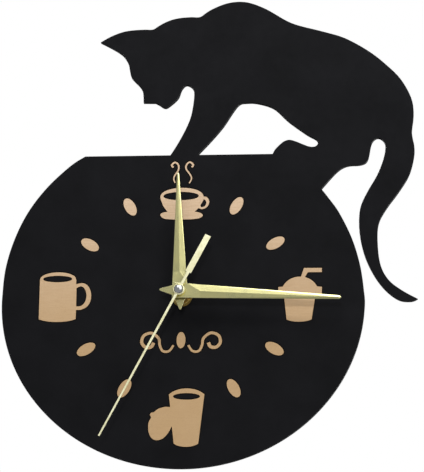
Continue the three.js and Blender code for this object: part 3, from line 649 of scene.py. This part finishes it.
RESIN = moulded("potting_resin", (0.010, 0.010, 0.010), (0.005, 0.005, 0.006), 0.20, 260, 0.05)
MAGNET = moulded("sintered_magnet", (0.085, 0.085, 0.090), (0.040, 0.040, 0.044), 0.55, 2600, 0.02)
SLEEVE = moulded("cell_sleeve_green", (0.028, 0.160, 0.082), (0.024, 0.142, 0.072), 0.24, 900, 0.003)
BAND = polished("cell_sleeve_silver", (0.70, 0.71, 0.72), (0.65, 0.66, 0.67), 0.30)
PAPER = moulded("insulating_ring", (0.62, 0.60, 0.55), (0.50, 0.48, 0.43), 0.75, 1500, 0.02, 0.2)


def gold(name, spin):
    """The hands' satin face and the polished line along their edges."""
    face = brushed(f"{name}_satin_gold", (0.93, 0.88, 0.44), (0.80, 0.74, 0.32), 0.30, spin)
    edge = brushed(f"{name}_edge_gold", (1.0, 0.97, 0.66), (0.92, 0.88, 0.52), 0.18, spin, 0.002, 0.0)
    return face, edge


# ---------------------------------------------------------------- board and inlays

TAN_NODES = [n for n in frame["nodes"] if n.startswith(("marker_", "steam_", "dial_"))]
RIM_RADIUS = 0.35
POCKET_RIM = 0.08
SCORCH = 0.35
SCREW_HOLE_DEPTH = 2.3


def centre_of(loop):
    return sum(loop, Vector((0, 0))) / len(loop)


def front_plate():
    lo, hi = span("front_plate")
    back, front = lo.z, hi.z
    floor = span(TAN_NODES[0])[0].z
    fronts, backs = flat_loops("front_plate", front), flat_loops("front_plate", back)

    def matches(loop, others):
        return any((centre_of(loop) - centre_of(o)).length < 0.05 for o in others)

    bm = bmesh.new()
    top, bottom, floors = [], [], []
    over = round_over(front, RIM_RADIUS)
    through = over + [(0, back + 0.1), (0.1, back)]
    for loop in fronts:
        smooth = finer(loop)
        if matches(loop, backs):
            first, last = walls(bm, smooth, through, [2] * 3 + [1] * 2)
            bottom.append(last)
        else:
            steps = [(SCORCH, front), (POCKET_RIM, front), (0, front - POCKET_RIM), (0, floor)]
            first, last = walls(bm, smooth, steps, [1] * 3)
            floors.append(last)
        top.append(first)
    for loop in backs:
        if not matches(loop, fronts):
            first, last = walls(bm, finer(loop), [(0, back + SCREW_HOLE_DEPTH), (0, back)], [1])
            bottom.append(last)
            cap(bm, [first], 1)
    cap(bm, top)
    cap(bm, bottom)
    cap(bm, floors)
    return stands_for("front_plate", bm, "black_board", BLACK_FACE, BLACK_EDGE, BLACK_RIM, smooth=28)


def inlays():
    for node in TAN_NODES:
        lo, hi = span(node)
        loops = [finer(loop, 0.5) for loop in flat_loops(node, hi.z)]
        bm = slab(loops, lo.z, hi.z, 0.09, 1)
        stands_for(node, bm, "tan_inlay", TAN, TAN_EDGE)


# ---------------------------------------------------------------- hands


def standing(node):
    """Radians clockwise from 12 at which a hand points: the way to the middle of its tip."""
    bm = welded(node)
    corners = [v.co.xy.copy() for v in bm.verts]
    bm.free()
    reach = max(p.length for p in corners)
    tip = sum((p for p in corners if p.length > reach - 0.3), Vector((0, 0)))
    return math.atan2(tip.x, tip.y)


def stations(node, spin):
    """(y, half width, edge height, ridge height) up a hand, and the radius of its hole.

    The tail behind the hub is flat, at the mean of its edge and ridge.
    """
    back = span(node)[0].z
    upright = Matrix.Rotation(spin, 4, "Z")
    loops = flat_loops(node, back)
    loops = [[(upright @ Vector((*p, 0))).xy for p in loop] for loop in loops]
    loops.sort(key=lambda loop: max(p.length for p in loop))
    hole, line = loops[0], loops[-1]
    bm = placed(welded(node), upright)
    corners = [v.co.copy() for v in bm.verts]
    bm.free()

    def highest(x, y):
        near = [c.z for c in corners if abs(abs(c.x) - x) < 0.05 and abs(c.y - y) < 0.05]
        return max(near, default=None)

    rows = []
    for p in sorted((p for p in line if p.x > 0.01), key=lambda p: p.y):
        edge = highest(p.x, p.y)
        ridge = highest(0, p.y) or edge
        if p.y < 0:
            edge = ridge = (edge + ridge) / 2
        rows.append((p.y, p.x, edge, ridge))
    return rows, sum(p.length for p in hole) / len(hole)


def faceted_hand(node):
    """A pressed hand: flat at the hub, then two facets that meet in a ridge, with polished edges."""
    back = span(node)[0].z
    spin = standing(node)
    rows, hole = stations(node, spin)
    bm = bmesh.new()
    sections = []
    for y, half, edge, ridge in rows:
        points = ((-half, y, back), (half, y, back), (half, y, edge), (0, y, ridge), (-half, y, edge))
        sections.append([bm.verts.new(p) for p in points])
    for a, b in zip(sections, sections[1:]):
        bm.faces.new((a[0], a[1], b[1], b[0]))
        bm.faces.new((a[1], a[2], b[2], b[1]))
        bm.faces.new((a[4], a[0], b[0], b[4]))
        for side in (2, 4):
            bm.faces.new((a[side], b[side], b[3]))
            bm.faces.new((a[side], b[3], a[3]))
    bm.faces.new(sections[0])
    bm.faces.new(sections[-1])
    bmesh.ops.recalc_face_normals(bm, faces=bm.faces)
    cut = combined(bm, prism(circle(hole, 64), back - 1, back + 3))
    shaped = bevelled(cut, 0.17, 40, 2, 1)
    placed(shaped, Matrix.Rotation(-spin, 4, "Z"))
    stands_for(node, shaped, "gold", *gold(node, spin), smooth=2)


def second_hand():
    node = "second_hand"
    lo, hi = span(node)
    loops = flat_loops(node, hi.z)
    spin = standing("second_hand") + math.pi
    bm = slab([smooth_hub(loop) for loop in loops], lo.z, hi.z, 0.3, 1, 4, 0.08)
    pale = Shader("pale_gold_lacquer", Metallic=0.4, Coat_Weight=0.3, Coat_Roughness=0.25)
    haze = pale.noise(320, 3)
    colour = pale.blend(pale.spread(haze, 0, 1), (0.93, 0.88, 0.52), (1.0, 0.97, 0.66))
    face = pale.finish(colour, pale.spread(haze, 0.30, 0.42), haze, 0.004)
    stands_for(node, bm, "gold", face, face)


def smooth_hub(loop, step=0.35):
    """Draws the hub disc of the second hand as a true circle."""
    hub = max(p.length for p in loop if p.length < 4.5)
    n = len(loop)
    points = []
    for i in range(n):
        a, b = loop[i], loop[(i + 1) % n]
        on_hub = abs(a.length - hub) < 0.05 and abs(b.length - hub) < 0.05
        count = max(1, round((b - a).length / step)) if on_hub else 1
        for k in range(count):
            p = a.lerp(b, k / count)
            points.append(p.normalized() * hub if on_hub and k else p)
    return points


def hub_cap():
    """Domed cap pressed on the second hand's tube."""
    node = "second_hand_cap"
    lo, hi = span(node)
    radius, base, top = radii(node)[1], lo.z, hi.z
    skirt = 0.45
    profile = [(0, base), (radius - 0.15, base), (radius, base + 0.12), (radius, base + skirt)]
    rise = top - base - skirt
    for k in range(1, 13):
        a = math.pi / 2 * k / 12
        profile.append((radius * math.cos(a) if k < 12 else 0, base + skirt + rise * math.sin(a)))
    stands_for(node, lathe(profile, 72), "nickel", NICKEL, smooth=50)


def ring_piece(node, slot, material, edge=0.1, segments=72, smooth=40):
    """A plain tube or washer with eased edges."""
    lo, hi = span(node)
    centre = middle(node)
    inner, outer = radii(node)
    profile = [(inner, lo.z), (outer, lo.z), (outer, hi.z), (inner, hi.z)]
    bm = placed(lathe(eased(profile, edge), segments), at(centre.x, centre.y))
    stands_for(node, bm, slot, material, smooth=smooth)


# ---------------------------------------------------------------- fixing at the board

THREAD_PITCH = 0.75
THREAD_DEPTH = 0.32


def threaded_bush():
    """Flanged bush with a cut thread."""
    node = "threaded_bush"
    lo, hi = span(node)
    inner = radii(node)[0]
    flange = radii(node)[1]
    shoulder = lo.z + 1.0
    outer = inner + 1.45
    segments, per_turn = 64, 8
    rows = int((hi.z - shoulder) / THREAD_PITCH * per_turn)
    bm = bmesh.new()

    def ring(radius_at, z):
        angles = [2 * math.pi * i / segments for i in range(segments)]
        return [
            bm.verts.new((radius_at(i) * math.cos(a), radius_at(i) * math.sin(a), z))
            for i, a in enumerate(angles)
        ]

    def threaded(z):
        def radius_at(i):
            phase = ((z - shoulder) / THREAD_PITCH - i / segments) % 1
            fade = min(1, (hi.z - z) / 0.4, (z - shoulder) / 0.4)
            depth = THREAD_DEPTH * (1 - abs(2 * phase - 1)) * max(0, fade)
            return outer - depth - 0.25 * (1 - min(1, (hi.z - z) / 0.4))

        return radius_at

    rings = [ring(lambda i: inner, hi.z), ring(lambda i: inner, lo.z), ring(lambda i: flange, lo.z)]
    rings += [ring(lambda i: flange, shoulder - 0.1), ring(lambda i: flange - 0.1, shoulder)]
    for k in range(rows + 1):
        z = shoulder + (hi.z - shoulder) * k / rows
        rings.append(ring(threaded(z), z))
    for k in range(len(rings)):
        low, high = rings[k], rings[(k + 1) % len(rings)]
        for i in range(segments):
            j = (i + 1) % segments
            bm.faces.new((low[i], low[j], high[j], high[i]))
    stands_for(node, bm, "brass", BRASS, smooth=25)


def fixing_nut():
    """Round nut with two spanner slots and chamfered faces."""
    node = "fixing_nut"
    lo, hi = span(node)
    inner, outer = radii(node)
    profile = [(inner, lo.z), (outer - 0.2, lo.z), (outer, lo.z + 0.3), (outer, hi.z - 0.55)]
    profile += [(outer - 0.5, hi.z), (inner + 0.35, hi.z), (inner, hi.z - 0.3)]
    body = lathe(profile, 96)
    slot = prism(rectangle(-outer - 1, outer + 1, -0.6, 0.6), hi.z - 0.8, hi.z + 1)
    cut = combined(body, placed(slot, turned(-20)))
    stands_for(node, bevelled(cut, 0.07, 38, 2), "brass", BRASS, smooth=30)


# ---------------------------------------------------------------- movement


def refined(node, slot, materials, width=0.1, angle=28, segments=2, smooth=30, marks=None):
    """The CAD shape with eased edges, optionally with shallow marks cut into it."""
    bm = bevelled(welded(node), width, angle, segments, 1 if len(materials) > 1 else None)
    if marks is not None:
        bm = combined(bm, marks)
    return stands_for(node, bm, slot, *materials, smooth=smooth)


MARK_DEPTH = 0.3


def back_marks():
    """Shallow marks on the back of the case: a plain panel, arrows round the knob, and the poles."""
    lo, hi = span("movement_rear_case")
    knob, cell = middle("setting_knob"), middle("aa_battery")
    half = hi.x
    z0, z1 = lo.z - 1, lo.z + MARK_DEPTH
    cuts = [slab([rounded_box(-half + 5, 5, 8, 23, 2)], z0, z1, 0.08)]
    for turn in (60, 180, 300):
        band = arc(knob.x, knob.y, 8.5, turn - 26, turn + 20, 12)
        band += reversed(arc(knob.x, knob.y, 7.9, turn - 26, turn + 20, 12))
        cuts.append(prism(list(reversed(band)), z0, z1))
        head = [Vector((8.2 + 1.0, 0)), Vector((8.2, 2.0)), Vector((8.2 - 1.0, 0))]
        cuts.append(placed(prism(head, z0, z1), turned(turn + 20.5), at(knob.x, knob.y)))
    y = span("aa_battery")[1].y + 2.2
    for side in (-1, 1):
        x = side * (half - 5)
        cuts.append(prism(rectangle(x - 1.4, x + 1.4, y + 0.75, y + 1.25), z0, z1))
        if side > 0:
            cuts.append(prism(rectangle(x - 0.25, x + 0.25, y + 1.3, y + 2.4), z0, z1))
            cuts.append(prism(rectangle(x - 0.25, x + 0.25, y - 0.4, y + 0.7), z0, z1))
    for side in (-1, 1):
        for y in (-16, 15):
            window = rectangle(side * half - 0.5, side * half + 0.5, y - 3, y + 3)
            cuts.append(prism(window, hi.z - 3.2, hi.z - 1.4))
    return joined(*cuts)


def rounded_box(x0, x1, y0, y1, radius):
    corners = ((x1, y1, 0), (x0, y1, 90), (x0, y0, 180), (x1, y0, 270))
    points = []
    for x, y, start in corners:
        cx = x + (-radius if x == x1 else radius)
        cy = y + (-radius if y == y1 else radius)
        points += arc(cx, cy, radius, start, start + 90, 7)
    return points


def turned_along_y(node, slot, material, profile, segments=64, smooth=35):
    """A turned piece whose axis is upright. Its profile is (radius, distance up from its centre)."""
    centre = middle(node)
    bm = placed(lathe(profile, segments), turned(-90, "X"), at(*centre))
    return stands_for(node, bm, slot, material, smooth=smooth)


def coil():
    lo, hi = span("coil_winding")
    inner, outer = radii("coil_winding", "y")
    half = (hi.y - lo.y) / 2
    turns = 44
    profile = [(inner, half), (inner, -half)]
    for k in range(turns * 4 + 1):
        ripple = 0.07 * abs(math.sin(math.pi * k / 4))
        profile.append((outer - 0.07 + ripple, -half + 2 * half * k / (turns * 4)))
    turned_along_y("coil_winding", "copper_wire", COPPER, profile, 40, 60)
    refined("coil_bobbin", "white_plastic", (ACETAL, ACETAL_WORN), 0.1, 40)
    refined("coil_core", "steel", (STEEL,), 0.1)
    refined("stator", "steel", (STEEL,), 0.06, 40)


def circuit():
    refined("circuit_board", "green_board", (MASK,), 0.08)
    lo, hi = span("chip_blob")
    radius, rise = (hi.x - lo.x) / 2, hi.z - lo.z
    profile = [(0, lo.z)]
    for k in range(9):
        a = math.pi / 2 * k / 8
        profile.append((radius * math.cos(a) ** 0.8 if k < 8 else 0, lo.z + rise * math.sin(a)))
    centre = middle("chip_blob")
    bm = placed(lathe(profile, 48), at(centre.x, centre.y))
    for vert in bm.verts:
        away = vert.co.xy - centre.xy
        wave = 1 + 0.05 * math.sin(3 * math.atan2(away.y, away.x))
        vert.co.xy = centre.xy + away * min(1, wave)
    stands_for("chip_blob", bm, "chip_resin", RESIN, smooth=60)
    lo, hi = span("crystal_can")
    half, radius = (hi.y - lo.y) / 2, (hi.x - lo.x) / 2
    can = [(0, -half), (radius - 0.05, -half), (radius, -half + 0.3), (radius, half - 0.4), (0, half)]
    turned_along_y("crystal_can", "nickel", NICKEL, eased(can, 0.25, 4), 48, 50)


def wheels():
    for node in ("second_wheel", "intermediate_wheel", "third_wheel", "minute_wheel", "motion_wheel", "hour_wheel"):
        refined(node, "white_plastic", (ACETAL, ACETAL_WORN), 0.05, 40, 1)
    refined("train_bridge", "white_plastic", (ACETAL, ACETAL_WORN), 0.12, 40)
    refined("rotor", "magnet", (MAGNET,), 0.08, 40)
    refined("setting_knob", "white_plastic", (ACETAL, ACETAL_WORN), 0.1, 38)


def case():
    refined("movement_rear_case", "black_plastic", (CASE, CASE_WORN), 0.3, 50, 3, 32, back_marks())
    lo, hi = span("movement_front_cover")
    loops = [finer(loop, 0.6) for loop in flat_loops("movement_front_cover", hi.z)]
    bm = slab(loops, lo.z, hi.z, 0.25, 1, 3)
    stands_for("movement_front_cover", bm, "black_plastic", CASE, CASE_WORN)


# ---------------------------------------------------------------- battery and contacts


def battery():
    """AA cell: rolled rims, a printed sleeve with one plain band, an insulating ring and a button."""
    node = "aa_battery"
    lo, hi = span(node)
    centre = middle(node)
    radius = (hi.z - lo.z) / 2
    end = hi.x - lo.x
    body = end - 1.1
    profile = [
        (0, 0.35, 0), (4.4, 0.35, 0), (4.9, 0.05, 0), (6.3, 0.0, 0), (6.85, 0.25, 0), (7.0, 0.7, 0),
        (radius, 0.95, 1), (radius, body - 12.0, 2), (radius, body - 1.25, 2), (radius - 0.15, body - 0.95, 0),
        (radius - 0.45, body - 0.3, 0), (6.2, body, 0), (5.5, body - 0.12, 3), (2.95, body - 0.12, 0),
        (2.7, body - 0.05, 0), (2.7, end - 0.3, 0), (2.45, end, 0), (0, end, 0),
    ]  # fmt: skip
    bm = lathe([(r, s) for r, s, _ in profile], 96, [slot for _, _, slot in profile])
    placed(bm, turned(90, "Y"), at(lo.x, centre.y, centre.z))
    stands_for(node, bm, "cell_sleeve", NICKEL, SLEEVE, BAND, PAPER, smooth=34)


SPRING_WIRE = 0.3


def conical_spring():
    """Negative contact: a plate against the end wall with a conical spring that bears on the cell."""
    node = "battery_contact_negative"
    lo, hi = span(node)
    cell = middle("aa_battery")
    plate = slab([rounded_box(lo.y, hi.y, lo.z, hi.z, 1.0)], 0, 0.35, 0.08)
    placed(plate, Matrix(((0, 0, 1, lo.x), (1, 0, 0, 0), (0, 1, 0, 0), (0, 0, 0, 1))))
    turns, per_turn, sides = 2.5, 28, 10
    start, reach = lo.x + 0.35 + SPRING_WIRE, hi.x - SPRING_WIRE - 0.02
    count = int(turns * per_turn)
    bm = bmesh.new()
    rings = []
    for k in range(count + 1):
        share = k / count
        a, radius = 2 * math.pi * turns * share, 3.1 - 1.7 * share
        x = start + (reach - start) * share
        middle_point = Vector((x, cell.y + radius * math.cos(a), cell.z + radius * math.sin(a)))
        out = Vector((0, math.cos(a), math.sin(a)))
        ring = []
        for i in range(sides):
            b = 2 * math.pi * i / sides
            offset = out * math.cos(b) + Vector((1, 0, 0)) * math.sin(b)
            ring.append(bm.verts.new(middle_point + offset * SPRING_WIRE))
        rings.append(ring)
    for a, b in zip(rings, rings[1:]):
        for i in range(sides):
            j = (i + 1) % sides
            bm.faces.new((a[i], a[j], b[j], b[i]))
    bm.faces.new(rings[0])
    bm.faces.new(rings[-1])
    stands_for(node, joined(plate, bm), "nickel", NICKEL)


def contacts():
    conical_spring()
    refined("battery_contact_positive", "nickel", (NICKEL,), 0.09, 20)


# ---------------------------------------------------------------- hanger


def hanger():
    refined("sawtooth_hanger", "steel", (STEEL,), 0.12, 24)
    for side in ("left", "right"):
        node = f"hanger_screw_{side}"
        lo, hi = span(node)
        centre = middle(node)
        head = (hi.x - lo.x) / 2
        profile = [(0, lo.z), (head * 0.62, lo.z), (head, lo.z + 0.75), (head, lo.z + 1.2), (1.1, lo.z + 1.2)]
        turns = 5
        for k in range(turns * 2 + 1):
            z = lo.z + 1.3 + (hi.z - lo.z - 2.1) * k / (turns * 2)
            profile.append((1.1 if k % 2 else 0.85, z))
        profile.append((0, hi.z))
        body = lathe(profile, 48)
        for turn in (35, 125):
            bar = prism(rectangle(-1.25, 1.25, -0.28, 0.28), lo.z - 1, lo.z + 0.8)
            body = combined(body, placed(bar, turned(turn)))
        bm = placed(bevelled(body, 0.05, 40, 1), at(centre.x, centre.y))
        stands_for(node, bm, "steel", STEEL, smooth=32)


# ---------------------------------------------------------------- build

front_plate()
inlays()
faceted_hand("hour_hand")
faceted_hand("minute_hand")
second_hand()
hub_cap()
for tube_node in ("second_hand_tube", "minute_collet", "hour_collet"):
    ring_piece(tube_node, "brass", BRASS, 0.12)
ring_piece("brass_washer", "brass", BRASS, 0.12)
ring_piece("rubber_gasket", "rubber", RUBBER, 0.3)
threaded_bush()
fixing_nut()
case()
coil()
circuit()
wheels()
battery()
contacts()
hanger()


# ---------------------------------------------------------------- camera, light and floor

CAMERA_AIM = Vector((0.0178, -0.021, 0.0387))
CAMERA_AZIMUTH = math.radians(5.8)
CAMERA_ELEVATION = math.radians(-16.6)
CAMERA_ROLL = math.radians(1.1)
CAMERA_DISTANCE = 1.198
CAMERA_LENS = 147.6
FLOOR_DROP = 0.85


def camera():
    az, el = CAMERA_AZIMUTH, CAMERA_ELEVATION
    back = Vector((math.sin(az) * math.cos(el), -math.cos(az) * math.cos(el), math.sin(el)))
    right = Vector((math.cos(az), math.sin(az), 0))
    up = back.cross(right)
    rolled = right * math.cos(CAMERA_ROLL) + up * math.sin(CAMERA_ROLL)
    up = back.cross(rolled)
    data = bpy.data.cameras.new("camera")
    data.lens = CAMERA_LENS
    data.sensor_width = 36
    data.clip_start, data.clip_end = 0.05, 50
    obj = bpy.data.objects.new("camera", data)
    obj.matrix_world = Matrix.Translation(CAMERA_AIM + back * CAMERA_DISTANCE) @ Matrix(
        (rolled, up, back)
    ).transposed().to_4x4()
    bpy.context.scene.collection.objects.link(obj)
    bpy.context.scene.camera = obj


def softbox(name, azimuth, elevation, distance, width, height, power, gloss=True, diffuse=True):
    """A rectangular lamp that faces the dial. Azimuth is to the right of straight ahead."""
    az, el = math.radians(azimuth), math.radians(elevation)
    way = Vector((math.sin(az) * math.cos(el), -math.cos(az) * math.cos(el), math.sin(el)))
    data = bpy.data.lights.new(name, "AREA")
    data.shape = "RECTANGLE"
    data.size, data.size_y = width, height
    data.energy = power
    obj = bpy.data.objects.new(name, data)
    obj.location = CAMERA_AIM + way * distance
    obj.rotation_mode = "QUATERNION"
    obj.rotation_quaternion = way.to_track_quat("Z", "Y")
    obj.visible_glossy = gloss
    obj.visible_diffuse = diffuse
    bpy.context.scene.collection.objects.link(obj)


def world():
    """White behind the clock; a dim, even room for everything that is lit or mirrored."""
    made = bpy.data.worlds.new("studio")
    made.use_nodes = True
    tree = made.node_tree
    tree.nodes.clear()
    path = tree.nodes.new("ShaderNodeLightPath")
    seen, room = tree.nodes.new("ShaderNodeBackground"), tree.nodes.new("ShaderNodeBackground")
    seen.inputs["Color"].default_value = (1, 1, 1, 1)
    seen.inputs["Strength"].default_value = 1.0
    room.inputs["Color"].default_value = (0.93, 0.96, 1.0, 1)
    room.inputs["Strength"].default_value = 0.27
    mix, out = tree.nodes.new("ShaderNodeMixShader"), tree.nodes.new("ShaderNodeOutputWorld")
    tree.links.new(path.outputs["Is Camera Ray"], mix.inputs["Fac"])
    tree.links.new(room.outputs[0], mix.inputs[1])
    tree.links.new(seen.outputs[0], mix.inputs[2])
    tree.links.new(mix.outputs[0], out.inputs["Surface"])
    bpy.context.scene.world = made


def floor():
    """Plain pale floor, below the camera."""
    s = Shader("pale_floor", Specular_IOR_Level=0.2)
    cloud = s.noise(3, 3)
    colour = s.blend(s.spread(cloud, 0, 1), (0.80, 0.80, 0.79), (0.84, 0.84, 0.83))
    material = s.finish(colour, 0.8, s.noise(60, 2), 0.2, 0.2)
    bm = bmesh.new()
    bmesh.ops.create_circle(bm, cap_ends=True, segments=96, radius=9.0)
    mesh = bpy.data.meshes.new("floor")
    bm.to_mesh(mesh)
    bm.free()
    mesh.materials.append(material)
    obj = bpy.data.objects.new("floor", mesh)
    obj.location = (0, 0, CAD_BOX[0].z - FLOOR_DROP)
    obj.visible_glossy = False
    bpy.context.scene.collection.objects.link(obj)


camera()
world()
floor()
softbox("key", 1, 2, 1.9, 0.15, 0.15, 9.5, gloss=False)
softbox("top", 10, 46, 1.0, 1.1, 0.5, 8.0)
softbox("right_gloss", 32, 14, 1.6, 0.8, 1.0, 7.0, diffuse=False)
softbox("rear", 205, 34, 1.6, 1.3, 1.1, 80.0)
softbox("rear_low", 140, -6, 1.8, 0.9, 0.7, 30.0)
bpy.context.scene.view_settings.view_transform = "Standard"
